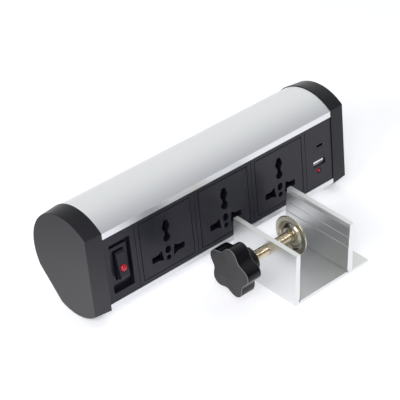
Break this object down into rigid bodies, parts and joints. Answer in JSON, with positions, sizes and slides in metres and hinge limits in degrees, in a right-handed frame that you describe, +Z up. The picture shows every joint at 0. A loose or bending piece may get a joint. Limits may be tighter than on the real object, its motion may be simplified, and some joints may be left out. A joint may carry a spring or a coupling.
{
  "type": "desk power strip",
  "caption": "Aluminium desk power strip with a lit rocker switch, universal sockets and a USB charger, beside its loose screw clamp for a desk edge.",
  "frame": {"origin": "middle of the bounding box, on the surface the strip and the clamp stand on", "axes": "+X along the strip from the switch to the USB module, +Y to its rear, +Z up"},
  "size_m": [0.252, 0.146, 0.0829],
  "materials": {
    "anodised_aluminium": "satin anodised",
    "clamp_aluminium": "satin anodised",
    "black_plastic": "fine matte",
    "cap_plastic": "satin",
    "red_lens": "clear gloss",
    "pale_plastic": "gloss",
    "nickel_steel": "plated",
    "dark_steel": "black nickel plated",
    "circuit_board": "solder mask",
    "yellow_tape": "tape",
    "capacitor_sleeve": "gloss",
    "brown_insulation": "gloss",
    "blue_insulation": "gloss",
    "green_insulation": "gloss",
    "inlet_plastic": "fine matte",
    "zinc_screw": "yellow zinc plated",
    "brass": "bright",
    "knob_plastic": "gloss",
    "pad_nickel": "nickel plated"
  },
  "bodies": {
    "strip": {"housing": "anodised_aluminium", "end_cap_left": "cap_plastic", "end_cap_right": "cap_plastic", "switch_frame": "black_plastic", "switch_body": "black_plastic", "switch_terminals": "brass", "socket_frame_1": "black_plastic", "socket_frame_2": "black_plastic", "socket_frame_3": "black_plastic", "socket_face_1": "black_plastic", "socket_face_2": "black_plastic", "socket_face_3": "black_plastic", "socket_back_1": "black_plastic", "socket_back_2": "black_plastic", "socket_back_3": "black_plastic", "line_busbar": "brass", "neutral_busbar": "brass", "earth_busbar": "brass", "usb_frame": "black_plastic", "usb_c_shell": "dark_steel", "usb_c_tongue": "black_plastic", "usb_a_shell": "nickel_steel", "usb_a_tongue": "pale_plastic", "usb_led": "red_lens", "usb_board": "circuit_board", "usb_transformer": "yellow_tape", "usb_capacitors": "capacitor_sleeve", "inlet_body": "inlet_plastic", "inlet_pins": "nickel_steel", "line_wire": "brown_insulation", "neutral_wire": "blue_insulation", "earth_wire": "green_insulation", "earth_bond_screw": "nickel_steel"},
    "rocker": {"switch_rocker": "black_plastic", "rocker_lens": "red_lens"},
    "clamp": {"clamp_bracket": "clamp_aluminium"},
    "pad": {"clamp_pad": "pad_nickel"},
    "screw": {"clamp_screw": "zinc_screw", "clamp_knob": "knob_plastic", "knob_insert": "brass", "pad_collar": "zinc_screw"}
  },
  "joints": [
    {"name": "rocker_hinge", "type": "hinge", "parent": "strip", "child": "rocker", "pos_m": [-0.098, 0.01243, 0.04127], "axis": [1, 0, 0], "range_deg": [0, 22]},
    {"name": "clamp_place", "type": "slide", "parent": "strip", "child": "clamp", "axis": [0, -1, 0], "range_m": [0, 0.05]},
    {"name": "clamp_travel", "type": "slide", "parent": "clamp", "child": "pad", "axis": [1, 0, 0], "range_m": [-0.0176, 0.0138]},
    {"name": "knob_turn", "type": "hinge", "parent": "pad", "child": "screw", "pos_m": [-0.0068, -0.04247, 0.034], "axis": [1, 0, 0], "range_deg": [-5040, 3960]}
  ],
  "couplings": [
    {"joint": "clamp_travel", "follows": "knob_turn", "m_per_rad": 0.00019894}
  ]
}
